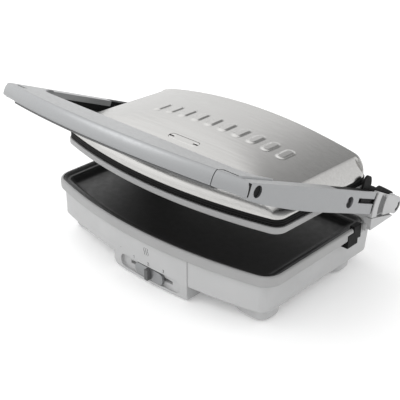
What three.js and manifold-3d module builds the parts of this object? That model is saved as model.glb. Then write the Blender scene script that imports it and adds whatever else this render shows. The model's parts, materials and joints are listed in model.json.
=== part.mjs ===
// Panini press: bowed base with a lower cooking tray and heat slider, U-shaped handle on a rear hinge,
// and a floating lid with the upper plate. Millimetres, +X right, +Y back, +Z up.
// Inside the press group z = 0 is the floor and y = 0 is the line through the base's front corners.
import * as THREE from 'three';
import { mergeVertices } from 'three/addons/utils/BufferGeometryUtils.js';
import Module from 'manifold-3d';

const wasm = await Module();
wasm.setup();

// ---- driving dimensions -------------------------------------------------------------------------
const GAP = 0.3; // clearance between pieces that touch

const BASE = { halfWidth: 180, front: 0, rear: 182, bow: 26, frontRadius: 24, rearRadius: 16 };
const RIM_TOP = 70;
const RIM_BOTTOM = 57;
const RIM_WALL = 3.5;
const LEDGE_WIDTH = 12;
const LEDGE_TOP = 66.5;
const WALL_INSET = 14;
const WALL_DRAFT = 2;
const WALL_THICKNESS = 3;
const HOUSING_BOTTOM = 13;
const SKIRT = { forward: 9, bottom: 20 }; // the front wall stands forward of the sides' wall, down to here
const REAR_DECK = 21; // the housing reaches this far behind the rim
const FLOOR_THICKNESS = 2.5;

const FOOT = { width: 46, depth: 36, inset: 17, radius: 15, bottom: 2.3, padRadius: 12 };
const TRAY_FLOOR = 58.8;
const PLATE_THICKNESS = 2.8;

const REST = { treadFront: 138, treadRear: 158, riserFront: 149, riserRear: 163.5, deep: 10.8, riserDeep: 6,
  proud: 0.7, low: 48, step: 65, riserLow: 54, high: RIM_TOP + 2.5 }; // stepped block under the handle arm

const FASCIA = { left: -49, right: 72, inset: 4, bottom: 2, back: 26, radius: 8 };
const RECESS = { left: -36, right: 62, bottom: 6, top: 24, floor: -17 };
const KNOB = { centre: 13, width: 46, height: 15.5, level: 15, face: -21.5, corner: 7, ridge: 2.8 };
const SLIT_HALF = 2.3; // half the height of the slit the slider runs in
const SLIDER_TRAVEL = 23;

const HINGE = { y: 218, z: 79 }; // main hinge axis, along X
const HANDLE_ANGLE = 23.2; // handle raised above level, degrees
const SHAFT_RADIUS = 5;

const ARM = { inner: 175.3, web: 181, outer: 190, rear: 54.8, front: 296.5, top: 13.3, bottom: -13.2,
  flange: 6, flangeRear: 139, frontBottom: -4.2,
  ledge: 7.4, lip: 2.5 }; // behind flangeRear the wall's top is a thin lip outside the liner's dark ledge
const CAP_GAP = 3; // dark joint between the bar's end cap and the arm
const BAR = { halfWidth: 191, endReach: 302, bow: 30, innerReach: 266, top: 15, bottom: -4.5, capInner: 155 };
const PIVOT = { reach: 107, height: -0.6, radius: 3.5, holeRadius: 6.7, sunk: 4 }; // lid pivot on the arms
const SCREW_HOLE = { reach: 284, height: 4.9, radius: 6.3, depth: 8, sunk: 2 };
const SLOT = { rear: 50, front: 89, height: 2, width: 5.8 };
const KNUCKLE = { inner: 184.6, outer: 191, tipRadius: 11, fanRadius: 51.6,
  above: 16, below: 20, tipHole: 7.2 };
const SHIELD = { inner: 28, outer: 41, sink: 3 }; // inlay in the knuckle's fan

const LID_TILT = 2; // front raised, degrees
const LID = { halfWidth: 173.5, front: -102.4, rear: 68.6, bow: 25, frontRadius: 16, rearRadius: 20 };
const RING_BOTTOM = -10.2; // measured from the lid pivot
const RING_TOP = -1.7;
const BAND_TOP = 6.3;
const INDICATOR_DEPTH = 30;
const INDICATOR = { x: 0, y: -68, spread: 19.5 };
const COVER = { inset: 3, crease: 26.4, creaseHalfWidth: 154, crown: 42.6, bulge: 171.5, thickness: 1.6 };

const PAINT = {
  shell: { color: 0xb9bbb9, roughness: 0.45, metalness: 0 },
  trim: { color: 0xa6a8a6, roughness: 0.45, metalness: 0 },
  silver: { color: 0xb4b6ba, roughness: 0.35, metalness: 0.4 },
  darkGrey: { color: 0x6b6d6e, roughness: 0.5, metalness: 0 },
  black: { color: 0x17181a, roughness: 0.55, metalness: 0 },
  nonStick: { color: 0x202124, roughness: 0.4, metalness: 0.1 },
  stainless: { color: 0xc9c6c1, roughness: 0.3, metalness: 1 },
  steel: { color: 0x8e9094, roughness: 0.35, metalness: 1 },
  ceramic: { color: 0xe4ded0, roughness: 0.7, metalness: 0 },
  rubber: { color: 0x242424, roughness: 0.9, metalness: 0 },
  lens: { color: 0x3a0a08, roughness: 0.2, metalness: 0 },
};

// ---- solids -------------------------------------------------------------------------------------
function solid(geometry) {
  const bare = new THREE.BufferGeometry();
  bare.setAttribute('position', geometry.getAttribute('position'));
  if (geometry.index) bare.setIndex(geometry.index);
  const merged = mergeVertices(bare, 1e-4);
  return new wasm.Manifold(new wasm.Mesh({
    numProp: 3,
    vertProperties: Float32Array.from(merged.getAttribute('position').array),
    triVerts: Uint32Array.from(merged.index.array),
  }));
}

function piece(name, paint, body) {
  const mesh = body.getMesh();
  const geometry = new THREE.BufferGeometry();
  geometry.setAttribute('position', new THREE.BufferAttribute(Float32Array.from(mesh.vertProperties), 3));
  geometry.setIndex(new THREE.BufferAttribute(Uint32Array.from(mesh.triVerts), 1));
  geometry.computeVertexNormals();
  const result = new THREE.Mesh(geometry, new THREE.MeshStandardMaterial(PAINT[paint]));
  result.name = name;
  return result;
}

// A body skinned over closed outlines of equal point count, lowest first, each { points, z }.
function loft(levels) {
  const count = levels[0].points.length;
  const positions = levels.flatMap(({ points, z }) => points.flatMap((p) => [p.x, p.y, z]));
  const faces = [];
  for (let level = 0; level + 1 < levels.length; level += 1) {
    for (let i = 0; i < count; i += 1) {
      const a = level * count + i;
      const b = level * count + (i + 1) % count;
      faces.push(a, b, b + count, a, b + count, a + count);
    }
  }
  const last = (levels.length - 1) * count;
  for (const [a, b, c] of THREE.ShapeUtils.triangulateShape(levels[0].points, [])) faces.push(a, c, b);
  for (const [a, b, c] of THREE.ShapeUtils.triangulateShape(levels.at(-1).points, [])) {
    faces.push(last + a, last + b, last + c);
  }
  const geometry = new THREE.BufferGeometry();
  geometry.setAttribute('position', new THREE.Float32BufferAttribute(positions, 3));
  geometry.setIndex(faces);
  return solid(geometry);
}

function arcPoints(cx, cy, radius, from, to, steps) {
  return Array.from({ length: steps + 1 }, (_, i) => {
    const angle = from + (to - from) * i / steps;
    return new THREE.Vector2(cx + radius * Math.cos(angle), cy + radius * Math.sin(angle));
  });
}

// Anticlockwise plan outline with a bowed front, straight sides and rounded corners, moved in by inset.
function outline({ halfWidth, front, rear, bow, frontRadius, rearRadius }, inset = 0) {
  const bowRadius = (halfWidth ** 2 + bow ** 2) / (2 * bow);
  const centreY = front - bow + bowRadius;
  const half = halfWidth - inset;
  const corner = Math.max(frontRadius - inset, 5);
  const back = Math.max(rearRadius - inset, 4);
  const reach = bowRadius - inset - corner;
  const cornerY = centreY - Math.sqrt(reach ** 2 - (half - corner) ** 2);
  const tangent = Math.atan2(cornerY - centreY, half - corner);
  const frontArc = arcPoints(0, centreY, bowRadius - inset, -Math.PI - tangent, tangent, 22);
  const right = arcPoints(half - corner, cornerY, corner, tangent, 0, 6).slice(1);
  const rearRight = arcPoints(half - back, rear - inset - back, back, 0, Math.PI / 2, 5);
  const rearLeft = arcPoints(back - half, rear - inset - back, back, Math.PI / 2, Math.PI, 5);
  const left = arcPoints(corner - half, cornerY, corner, Math.PI, Math.PI * 2 - (Math.PI + tangent), 6);
  return [...frontArc, ...right, ...rearRight, ...rearLeft, ...left.slice(0, -1)];
}

// A body with the plan outline, following [z, inset] steps upwards.
function shell(plan, steps) {
  return loft(steps.map(([z, inset]) => ({ z, points: outline(plan, inset) })));
}

function box(x0, x1, y0, y1, z0, z1) {
  const geometry = new THREE.BoxGeometry(x1 - x0, y1 - y0, z1 - z0);
  return solid(geometry.translate((x0 + x1) / 2, (y0 + y1) / 2, (z0 + z1) / 2));
}

// Cylinder along X between x0 and x1 around the line (y, z).
function rodX(radius, x0, x1, y = 0, z = 0, segments = 20) {
  const geometry = new THREE.CylinderGeometry(radius, radius, x1 - x0, segments).rotateZ(Math.PI / 2);
  return solid(geometry.translate((x0 + x1) / 2, y, z));
}

function rodZ(radius, z0, z1, x, y, segments = 20) {
  const geometry = new THREE.CylinderGeometry(radius, radius, z1 - z0, segments).rotateX(Math.PI / 2);
  return solid(geometry.translate(x, y, (z0 + z1) / 2));
}

// Polygon with each corner [a, b, radius] rounded.
function roundedShape(corners) {
  const shape = new THREE.Shape();
  corners.forEach(([a, b, radius = 0], i) => {
    const here = new THREE.Vector2(a, b);
    const before = new THREE.Vector2(...corners.at(i - 1).slice(0, 2)).sub(here).setLength(radius).add(here);
    const after = new THREE.Vector2(...corners[(i + 1) % corners.length].slice(0, 2)).sub(here);
    after.setLength(radius).add(here);
    if (i === 0) shape.moveTo(before.x, before.y);
    else shape.lineTo(before.x, before.y);
    if (radius > 0) shape.quadraticCurveTo(here.x, here.y, after.x, after.y);
  });
  shape.closePath();
  return shape;
}

const AXES_YZ = new THREE.Matrix4().makeBasis(
  new THREE.Vector3(0, 1, 0), new THREE.Vector3(0, 0, 1), new THREE.Vector3(1, 0, 0));
const AXES_XZ = new THREE.Matrix4().makeBasis(
  new THREE.Vector3(1, 0, 0), new THREE.Vector3(0, 0, 1), new THREE.Vector3(0, -1, 0));

// Shape drawn in (y, z), extruded from x0 to x1.
function slabX(shape, x0, x1, curveSegments = 5) {
  const geometry = new THREE.ExtrudeGeometry(shape, { depth: x1 - x0, bevelEnabled: false, curveSegments });
  return solid(geometry.applyMatrix4(AXES_YZ).translate(x0, 0, 0));
}

// Shape drawn in (x, z), extruded from y0 to y1.
function slabY(shape, y0, y1, curveSegments = 5) {
  const geometry = new THREE.ExtrudeGeometry(shape, { depth: y1 - y0, bevelEnabled: false, curveSegments });
  return solid(geometry.applyMatrix4(AXES_XZ).translate(0, y1, 0));
}

// Shape drawn in (x, y), extruded from z0 to z1.
function slabZ(shape, z0, z1, curveSegments = 5) {
  const geometry = new THREE.ExtrudeGeometry(shape, { depth: z1 - z0, bevelEnabled: false, curveSegments });
  return solid(geometry.translate(0, 0, z0));
}

const mirrorX = (body, side) => (side > 0 ? body : body.mirror([1, 0, 0]));
const SIDES = [['left', -1], ['right', 1]];

// ---- base ---------------------------------------------------------------------------------------
function footPlaces() {
  const x = BASE.halfWidth - FOOT.inset - FOOT.width / 2;
  const rearY = BASE.rear - FOOT.depth / 2 - 4;
  const frontY = BASE.front + FOOT.inset / 2 + FOOT.depth / 2;
  return [['front_left', -x, frontY], ['front_right', x, frontY],
    ['rear_left', -x, rearY], ['rear_right', x, rearY]];
}

function footBlock(x, y, grow = 0) {
  const w = FOOT.width / 2 + grow;
  const d = FOOT.depth / 2 + grow;
  const corners = [[x - w, y - d], [x + w, y - d], [x + w, y + d], [x - w, y + d]];
  const outline = roundedShape(corners.map(([a, b]) => [a, b, FOOT.radius]));
  return slabZ(outline, FOOT.bottom, HOUSING_BOTTOM + 2, 4);
}

const HOUSING = { ...BASE, halfWidth: BASE.halfWidth + 2.5, rear: BASE.rear + REAR_DECK + WALL_INSET };

function housingSkin(grow) {
  return shell(HOUSING, [
    [HOUSING_BOTTOM - grow, WALL_INSET + WALL_DRAFT + 2.5 - grow],
    [HOUSING_BOTTOM + 2.5, WALL_INSET + WALL_DRAFT - grow],
    [RIM_BOTTOM - GAP, WALL_INSET - grow],
  ]);
}

// The forward part of the front wall, left open for the fascia.
function frontSkirt(inset, bottom, top, margin) {
  const plan = { ...HOUSING, front: HOUSING.front - SKIRT.forward };
  const skin = shell(plan, [[bottom, inset + 1.5], [bottom + 2, inset], [top, inset]]);
  return skin.subtract(box(FASCIA.left - margin, FASCIA.right + margin, -100, 60, 0, RIM_TOP))
    .subtract(box(-HOUSING.halfWidth, HOUSING.halfWidth, 60, 300, 0, RIM_TOP));
}

function baseHousing() {
  const inner = WALL_INSET + WALL_THICKNESS;
  const cavity = shell(HOUSING, [
    [HOUSING_BOTTOM + FLOOR_THICKNESS, inner + WALL_DRAFT + 1],
    [RIM_BOTTOM - 4, inner],
  ]).add(shell(BASE, [[RIM_BOTTOM - 6, inner], [RIM_BOTTOM + 1, inner]]));
  let body = housingSkin(0).add(frontSkirt(WALL_INSET, SKIRT.bottom, RIM_BOTTOM - GAP, GAP))
    .subtract(frontSkirt(inner, SKIRT.bottom + WALL_THICKNESS, RIM_BOTTOM - 4, GAP + WALL_THICKNESS));
  for (const [, x, y] of footPlaces()) body = body.add(footBlock(x, y));
  const gland = new THREE.CylinderGeometry(6.3, 6.3, 20, 20).translate(-110, HOUSING.rear - WALL_INSET, 34);
  return body.subtract(cavity).subtract(solid(gland));
}

// Stepped black block at the rim's side: a low tread outside the wall and a riser up to the rim's top.
function restBlockSpace(grow) {
  const { treadFront, treadRear, riserFront, riserRear, low, step, riserLow, high } = REST;
  const treadTop = step + grow;
  const tread = slabX(roundedShape([[treadFront - grow, low - grow], [treadRear + grow, low - grow],
    [treadRear + grow, treadTop], [treadFront - grow, treadTop]]),
  BASE.halfWidth - REST.deep - grow, BASE.halfWidth + REST.proud + grow);
  const riser = slabX(roundedShape([[riserFront - grow, riserLow + 2], [riserRear + grow, riserLow - grow],
    [riserRear + grow, high + grow], [riserFront - grow, high + grow]]),
  BASE.halfWidth - REST.riserDeep - grow, BASE.halfWidth + REST.proud + grow);
  return tread.add(riser);
}

function baseRim() {
  let body = shell(BASE, [[RIM_BOTTOM, 2.2], [RIM_BOTTOM + 1.6, 0.4], [60, 0], [67, 0.3], [69.2, 1.1],
    [RIM_TOP, 2.2]])
    .subtract(shell(BASE, [[RIM_BOTTOM - 1, LEDGE_WIDTH], [LEDGE_TOP + 1, LEDGE_WIDTH]]))
    .subtract(shell(BASE, [[LEDGE_TOP, RIM_WALL], [RIM_TOP + 1, RIM_WALL]]));
  for (const [, side] of SIDES) body = body.subtract(mirrorX(restBlockSpace(GAP), side));
  return body;
}

function lowerPlate() {
  const lip = shell(BASE, [[LEDGE_TOP + GAP, RIM_WALL + GAP], [RIM_TOP - 0.2, RIM_WALL + GAP]]);
  const bowl = shell(BASE, [[TRAY_FLOOR - PLATE_THICKNESS, 18], [LEDGE_TOP + 0.5, LEDGE_WIDTH + GAP]]);
  const hollow = shell(BASE, [[TRAY_FLOOR, 22.5], [TRAY_FLOOR + 2, 19], [LEDGE_TOP, 15], [RIM_TOP + 1, 7]]);
  let body = lip.add(bowl).subtract(hollow);
  for (const [, side] of SIDES) body = body.subtract(mirrorX(restBlockSpace(GAP), side));
  return body;
}

function arrangedLoop(halfWidth, halfDepth, centreY, z) {
  const path = new THREE.CurvePath();
  const corners = [[-halfWidth, 1], [-halfWidth, -1], [halfWidth, -1], [halfWidth, 1]];
  const at = ([x, s]) => new THREE.Vector3(x, centreY + s * halfDepth, z);
  const r = 30;
  let from = at(corners[0]);
  for (let i = 1; i < corners.length - 1; i += 1) {
    const corner = at(corners[i]);
    const next = at(corners[i + 1]);
    const before = corner.clone().add(from.clone().sub(corner).setLength(r));
    const after = corner.clone().add(next.clone().sub(corner).setLength(r));
    path.add(new THREE.LineCurve3(from, before));
    path.add(new THREE.QuadraticBezierCurve3(before, corner, after));
    from = after;
  }
  path.add(new THREE.LineCurve3(from, at(corners[3])));
  return path;
}

// Tubular heating element bent to a U under its plate.
function heatingElement(centreY, z) {
  const points = arrangedLoop(128, 52, centreY, z).getSpacedPoints(28);
  const section = new THREE.Shape(arcPoints(0, 0, 3.3, 0, Math.PI * 2, 6).slice(0, -1));
  const extrudePath = new THREE.CatmullRomCurve3(points);
  return solid(new THREE.ExtrudeGeometry(section, { steps: 34, extrudePath, bevelEnabled: false }));
}

function heatShield(plan, inset, z, height, opening) {
  const tray = shell(plan, [[z, inset + 4], [z + height, inset]]);
  return tray.subtract(shell(plan, [[z + opening[0], inset + 4.8], [z + opening[1], inset + 0.8]]));
}

function fascia() {
  const { left, right, inset, bottom, back, radius } = FASCIA;
  const face = roundedShape([[left, bottom, radius], [right, bottom, 2], [right, RIM_BOTTOM - GAP, 0],
    [left, RIM_BOTTOM - GAP, 0]]);
  const block = shell(BASE, [[bottom - 1, inset + 1.5], [bottom + 8, inset], [RIM_BOTTOM, inset]]);
  const { left: l, right: r, bottom: b, top: t } = RECESS;
  const stadium = slabY(roundedShape([[l, b, 9], [r, b, 9], [r, t, 9], [l, t, 9]]), -60, RECESS.floor);
  const slitHalf = SLIDER_TRAVEL + 12;
  const slit = box(KNOB.centre - slitHalf, KNOB.centre + slitHalf, -30, RECESS.floor + 5.5,
    KNOB.level - SLIT_HALF, KNOB.level + SLIT_HALF);
  return block.intersect(slabY(face, -60, back)).subtract(housingSkin(GAP)).subtract(stadium).subtract(slit);
}

function bottomCover() {
  const body = slabZ(roundedShape([[-92, 40, 12], [92, 40, 12], [92, 150, 12], [-92, 150, 12]]),
    HOUSING_BOTTOM - 2.8, HOUSING_BOTTOM - GAP, 3);
  return [-1, 1].reduce((cut, i) => cut.subtract(box(i * 60 - 20, i * 60 + 20, 90, 93, 5, 20)), body);
}

const BRACKET_FRONT = 166.8; // clear of the closed arm's end

function hingeBracket() {
  const { y, z } = HINGE;
  const inner = BASE.halfWidth + 0.4;
  const front = BRACKET_FRONT;
  const plate = roundedShape([[front, RIM_BOTTOM + 4.5, 1], [y - 6, RIM_BOTTOM + 5, 7], [y + 11, z - 10, 9],
    [y + 11, z + 10, 9], [y - 14, z + 12, 9], [180, RIM_TOP + 4, 4], [front, RIM_TOP + 1, 1]]);
  const web = roundedShape([[front + 0.9, RIM_BOTTOM + 7.5, 1], [y - 2, RIM_BOTTOM + 8, 3],
    [y - 5, z - 11.6, 0.5], [front + 1.6, z + 0.8, 1.5]]);
  const flange = box(150, inner + 0.8, BASE.rear + 3, BASE.rear + REAR_DECK - 3, RIM_BOTTOM, RIM_BOTTOM + 7);
  return slabX(plate, inner, KNUCKLE.inner - 0.4)
    .add(slabX(web, inner, KNUCKLE.outer - 1.2).subtract(rodX(KNUCKLE.tipRadius + 0.8, inner - 1, 200, y, z)))
    .subtract(rodX(SHAFT_RADIUS + GAP, inner - 1, 200, y, z))
    .add(flange);
}

function makeBase() {
  const group = new THREE.Group();
  const midY = (BASE.rear + BASE.front) / 2;
  group.add(piece('base_housing', 'shell', baseHousing()));
  group.add(piece('base_rim', 'trim', baseRim()));
  group.add(piece('lower_plate', 'nonStick', lowerPlate()));
  group.add(piece('lower_heating_element', 'steel', heatingElement(midY - 2, 51)));
  group.add(piece('lower_heat_shield', 'steel', heatShield(BASE, 24, 38, 7, [0.8, 9])));
  group.add(piece('control_fascia', 'shell', fascia()));
  group.add(piece('base_bottom_cover', 'darkGrey', bottomCover()));
  group.add(piece('thermostat', 'ceramic', rodZ(11, 18, 32, 30, 60, 24).add(box(18, 42, 56, 64, 30, 36))));
  group.add(piece('terminal_block', 'ceramic', box(-135, -95, 118, 136, 17, 30)));
  group.add(piece('thermal_fuse', 'steel', rodX(2.6, -40, -12, 70, 34, 12)));
  const gland = new THREE.CylinderGeometry(6, 6, 12, 20).translate(-110, HOUSING.rear - WALL_INSET - 1, 34);
  const flange = new THREE.CylinderGeometry(8.5, 7, 3, 20)
    .translate(-110, HOUSING.rear - WALL_INSET + 5.2, 34);
  const bore = new THREE.CylinderGeometry(3.4, 3.4, 30, 16).translate(-110, HOUSING.rear - WALL_INSET, 34);
  group.add(piece('cord_gland', 'black', solid(gland).add(solid(flange)).subtract(solid(bore))));
  for (const [name, x, y] of footPlaces()) {
    group.add(piece(`foot_pad_${name}`, 'rubber', rodZ(FOOT.padRadius, 0, FOOT.bottom - GAP, x, y, 24)));
  }
  for (const [sx, sy] of [[-1, 0], [-1, 1], [1, 0], [1, 1]]) {
    const name = `cover_screw_${sy ? 'rear' : 'front'}_${sx < 0 ? 'left' : 'right'}`;
    group.add(piece(name, 'steel', rodZ(3.5, 9, HOUSING_BOTTOM - 3.1, sx * 80, sy ? 138 : 52, 14)));
  }
  for (const [name, side] of SIDES) {
    group.add(piece(`hinge_bracket_${name}`, 'shell', mirrorX(hingeBracket(), side)));
    group.add(piece(`arm_rest_${name}`, 'black', mirrorX(restBlockSpace(0), side)));
  }
  return group;
}

// ---- heat slider ----------------------------------------------------------------------------------
function makeSlider() {
  const group = new THREE.Group();
  const { centre, width, height, level, face } = KNOB;
  const [l, r, b, t] = [centre - width / 2, centre + width / 2, level - height / 2, level + height / 2];
  const corner = KNOB.corner;
  const plate = slabY(roundedShape([[l, b, corner], [r, b, corner], [r, t, corner], [l, t, corner]]),
    face, RECESS.floor - 0.5);
  const ridgeShape = (grow, from, to) => slabY(roundedShape([[centre - KNOB.ridge - grow, b + 0.6, 1],
    [centre + KNOB.ridge + grow, b + 0.6, 1], [centre + KNOB.ridge + grow, t - 0.6, 1],
    [centre - KNOB.ridge - grow, t - 0.6, 1]]), from, to);
  group.add(piece('slider_knob', 'silver', plate.subtract(ridgeShape(GAP, face - 1, face + 2))));
  group.add(piece('slider_ridge', 'darkGrey', ridgeShape(0, face - 5, face + 2 - GAP)));
  const half = SLIT_HALF - 0.4;
  group.add(piece('slider_carriage', 'black',
    box(centre - 8, centre + 8, RECESS.floor - 0.2, RECESS.floor + 5, level - half, level + half)));
  return group;
}

// ---- handle: y = -reach from the hinge axis, z = height above the arm line ------------------------
function armBody() {
  const { inner, web, outer, rear, front, top, bottom, flange, flangeRear, frontBottom, ledge, lip } = ARM;
  const side = new THREE.Shape();
  const end = rear - 5;
  side.moveTo(-end, bottom + 1);
  side.lineTo(-end - 2, bottom);
  side.lineTo(-180, bottom);
  side.bezierCurveTo(-225, bottom + 1, -270, bottom + 5, -front, frontBottom);
  side.lineTo(-front, top - 1.2);
  side.lineTo(-front + 1.2, top);
  side.lineTo(-end - 1.2, top);
  side.lineTo(-end, top - 1.2);
  const wall = slabX(side, web, outer, 8);
  const lid = slabX(
    roundedShape([[-front, flange], [-flangeRear, flange], [-flangeRear, top], [-front, top]]),
    inner, web + 1);
  const slot = box(web - 1, outer + 1, -SLOT.front, -SLOT.rear,
    SLOT.height - SLOT.width / 2, SLOT.height + SLOT.width / 2);
  return wall.add(lid).subtract(slot)
    .subtract(rodX(rear, web - 1, outer + 1, 0, 0, 64))
    .subtract(box(web - 1, outer - lip, -flangeRear, 0, ledge, top + 1))
    .subtract(rodX(SCREW_HOLE.radius, outer - SCREW_HOLE.depth, outer + 1,
      -SCREW_HOLE.reach, SCREW_HOLE.height, 24))
    .subtract(rodX(PIVOT.holeRadius, web - 1, outer + 1, -PIVOT.reach, PIVOT.height, 28));
}

const LINER_LEDGE_REAR = 60; // the liner's raised top strip ends this far from the hinge axis

// Black inner side of the arm, running back to the hinge shaft.
function armLiner() {
  const { inner, web, outer, front, rear, flange, flangeRear, top, bottom } = ARM;
  const under = flange - GAP - 0.1;
  const side = roundedShape([[-292, -1, 2], [-150, -2.5, 10], [-40, -7, 20], [9, -8, 7], [10, 12, 5],
    [-6, 15, 4],
    [-27, 18.6, 3], [-33, 15.2, 2], [-44, 17.6, 3], [-50, 17, 1], [-51, 22, 2], [-55, 28.5, 3],
    [-63, 29.5, 3],
    [-67, 24, 3], [-66, under, 3], [-292, under, 1]]);
  const high = top - 0.5;
  const ledge = box(inner + 0.4, web - GAP, -flangeRear + GAP, -LINER_LEDGE_REAR, under - 1, high)
    .add(box(web - 1, outer - ARM.lip - GAP, -flangeRear + GAP, -LINER_LEDGE_REAR, ARM.ledge + GAP, high));
  const joint = box(inner + 0.7, web - 2.6, -front - CAP_GAP, -front + 8, 0, under)
    .add(box(inner + 0.7, outer - GAP, -front - CAP_GAP, -front - GAP, BAR.bottom + 3.4, high - 0.5));
  const ring = fanShape(KNUCKLE.fanRadius + GAP, rear - GAP);
  const near = -KNUCKLE.fanRadius - 0.1;
  const seam = slabX(ring, web + GAP, outer - GAP)
    .intersect(box(web, outer, -2 * rear, near, bottom + 0.6, high))
    .add(slabX(ring, web - 3, web + 1).intersect(box(web - 4, web + 2, -2 * rear, near, -5, high)));
  let body = slabX(side, inner + 0.4, web - 2.6).add(ledge).add(joint).add(seam);
  for (let reach = 92; reach < 290; reach += 24) {
    body = body.add(box(web - 3, web - GAP, -reach - 1.5, -reach + 1.5, -1, under - 0.2));
  }
  const { height, width } = SLOT;
  const tongue = box(web - 3, outer - 2.2, -SLOT.front + 9, -SLOT.rear - 3,
    height - width / 2 + GAP, height + width / 2 - GAP);
  return body.add(tongue)
    .subtract(rodX(SHAFT_RADIUS + GAP, inner - 1, web + 1))
    .subtract(rodX(PIVOT.radius + GAP, inner - 1, web + 1, -PIVOT.reach, PIVOT.height));
}

function barPlan(inset) {
  const { halfWidth, endReach, bow, innerReach } = BAR;
  const half = halfWidth - inset;
  const radius = (halfWidth ** 2 + bow ** 2) / (2 * bow);
  const centreY = -endReach - bow + radius;
  const swing = Math.asin(half / (radius - inset));
  const front = arcPoints(0, centreY, radius - inset, -Math.PI / 2 - swing, -Math.PI / 2 + swing, 24);
  const cornerY = -(ARM.front + GAP + 0.4);
  const gusset = ARM.inner - GAP - 0.4 - inset * 0.3;
  const inner = -innerReach - inset;
  const bend = new THREE.QuadraticBezierCurve(
    new THREE.Vector2(gusset, -238 - inset), new THREE.Vector2(gusset - 2, inner + 1),
    new THREE.Vector2(140, inner));
  const right = [new THREE.Vector2(half, cornerY), new THREE.Vector2(gusset, cornerY), ...bend.getPoints(6)];
  const left = right.map((p) => new THREE.Vector2(-p.x, p.y)).reverse();
  return [...front, ...right, ...left];
}

function barSolid() {
  const { top, bottom } = BAR;
  const steps = [[bottom + 2.4, 0.6], [bottom + 5, 0], [top - 8, 0.7], [top - 4, 1.7],
    [top - 1.6, 2.9], [top, 4.3]];
  return loft(steps.map(([z, inset]) => ({ z, points: barPlan(inset) })));
}

// Where the end cap sits, ahead of the given reach.
function capRegion(grow, reach) {
  const { capInner, halfWidth } = BAR;
  return box(capInner - grow, halfWidth + 5, -400, -reach, -50, 50);
}

function makeHandle() {
  const group = new THREE.Group();
  const whole = barSolid();
  const cap = capRegion(0, ARM.front + CAP_GAP + GAP);
  let bar = whole;
  for (const [name, side] of SIDES) {
    bar = bar.subtract(mirrorX(capRegion(GAP, ARM.front + 2 * GAP), side));
    group.add(piece(`handle_end_cap_${name}`, 'silver', whole.intersect(mirrorX(cap, side))));
    group.add(piece(`handle_arm_${name}`, 'silver', mirrorX(armBody(), side)));
    group.add(piece(`arm_liner_${name}`, 'black', mirrorX(armLiner(), side)));
    const plug = rodX(SCREW_HOLE.radius - GAP,
      ARM.outer - SCREW_HOLE.depth + GAP, ARM.outer - SCREW_HOLE.sunk,
      -SCREW_HOLE.reach, SCREW_HOLE.height, 24);
    group.add(piece(`arm_screw_${name}`, 'black', mirrorX(plug, side)));
    const pin = rodX(PIVOT.radius, LID.halfWidth - 11, ARM.outer - PIVOT.sunk,
      -PIVOT.reach, PIVOT.height, 20);
    group.add(piece(`lid_pivot_pin_${name}`, 'steel', mirrorX(pin, side)));
  }
  const hollow = loft([[BAR.bottom + 2, 4], [BAR.top - 6, 6]]
    .map(([z, inset]) => ({ z, points: barPlan(inset) })));
  const within = box(-BAR.capInner + 4, BAR.capInner - 4, -400, 0, -50, 50);
  group.add(piece('handle_bar', 'silver', bar.subtract(hollow.intersect(within))));
  const coverLevels = [[BAR.bottom, 2.4], [BAR.bottom + 2.1, 1.2]];
  const cover = loft(coverLevels.map(([z, inset]) => ({ z, points: barPlan(inset) })))
    .intersect(box(-BAR.capInner, BAR.capInner, -400, 0, -50, 50));
  group.add(piece('handle_grip_cover', 'darkGrey', cover));
  return group;
}

// ---- hinge carrier: same axes as the handle -------------------------------------------------------
function fanShape(inner, outer, trim = 0) {
  const from = Math.PI - THREE.MathUtils.degToRad(KNUCKLE.above) + trim;
  const to = Math.PI + THREE.MathUtils.degToRad(KNUCKLE.below) - trim;
  return new THREE.Shape([...arcPoints(0, 0, outer, from, to, 12), ...arcPoints(0, 0, inner, to, from, 10)]);
}

// Curved slot round the knuckle's tip, half as wide as twice the given value.
function tipCrescent(half) {
  const { tipHole } = KNUCKLE;
  return new THREE.Shape([...arcPoints(0, 0, tipHole + half, -1.2, 0.6, 8),
    ...arcPoints(0, 0, tipHole - half, 0.6, -1.2, 8)]);
}

function knuckle() {
  const tip = arcPoints(0, 0, KNUCKLE.tipRadius, -Math.PI / 2 - 0.5, Math.PI / 2 + 0.5, 14);
  const fan = arcPoints(0, 0, KNUCKLE.fanRadius, Math.PI - THREE.MathUtils.degToRad(KNUCKLE.above),
    Math.PI + THREE.MathUtils.degToRad(KNUCKLE.below), 12);
  return slabX(new THREE.Shape([...tip, ...fan]), KNUCKLE.inner, KNUCKLE.outer)
    .subtract(slabX(fanShape(SHIELD.inner, SHIELD.outer, -0.3),
      KNUCKLE.inner + SHIELD.sink, KNUCKLE.outer + 1))
    .subtract(slabX(tipCrescent(2), KNUCKLE.inner + 1, KNUCKLE.outer + 1));
}

function makeHingeCarrier() {
  const group = new THREE.Group();
  for (const [name, side] of SIDES) {
    group.add(piece(`hinge_knuckle_${name}`, 'shell', mirrorX(knuckle(), side)));
    const inlay = slabX(fanShape(SHIELD.inner + GAP, SHIELD.outer - GAP), KNUCKLE.inner + SHIELD.sink + GAP,
      KNUCKLE.outer - 0.8);
    group.add(piece(`hinge_shield_${name}`, 'darkGrey', mirrorX(inlay, side)));
    const plug = slabX(tipCrescent(2 - GAP), KNUCKLE.inner + 1 + GAP, KNUCKLE.outer - 0.5);
    group.add(piece(`hinge_plug_${name}`, 'black', mirrorX(plug, side)));
  }
  const reach = KNUCKLE.inner - GAP;
  group.add(piece('hinge_cross_shaft', 'steel', rodX(SHAFT_RADIUS, -reach, reach)));
  return group;
}

// ---- lid: origin on the lid pivot -----------------------------------------------------------------
function pivotClearance() {
  const depth = LID.halfWidth - 14;
  return rodX(5.9, depth, 180).add(rodX(5.9, -180, -depth));
}

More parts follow.
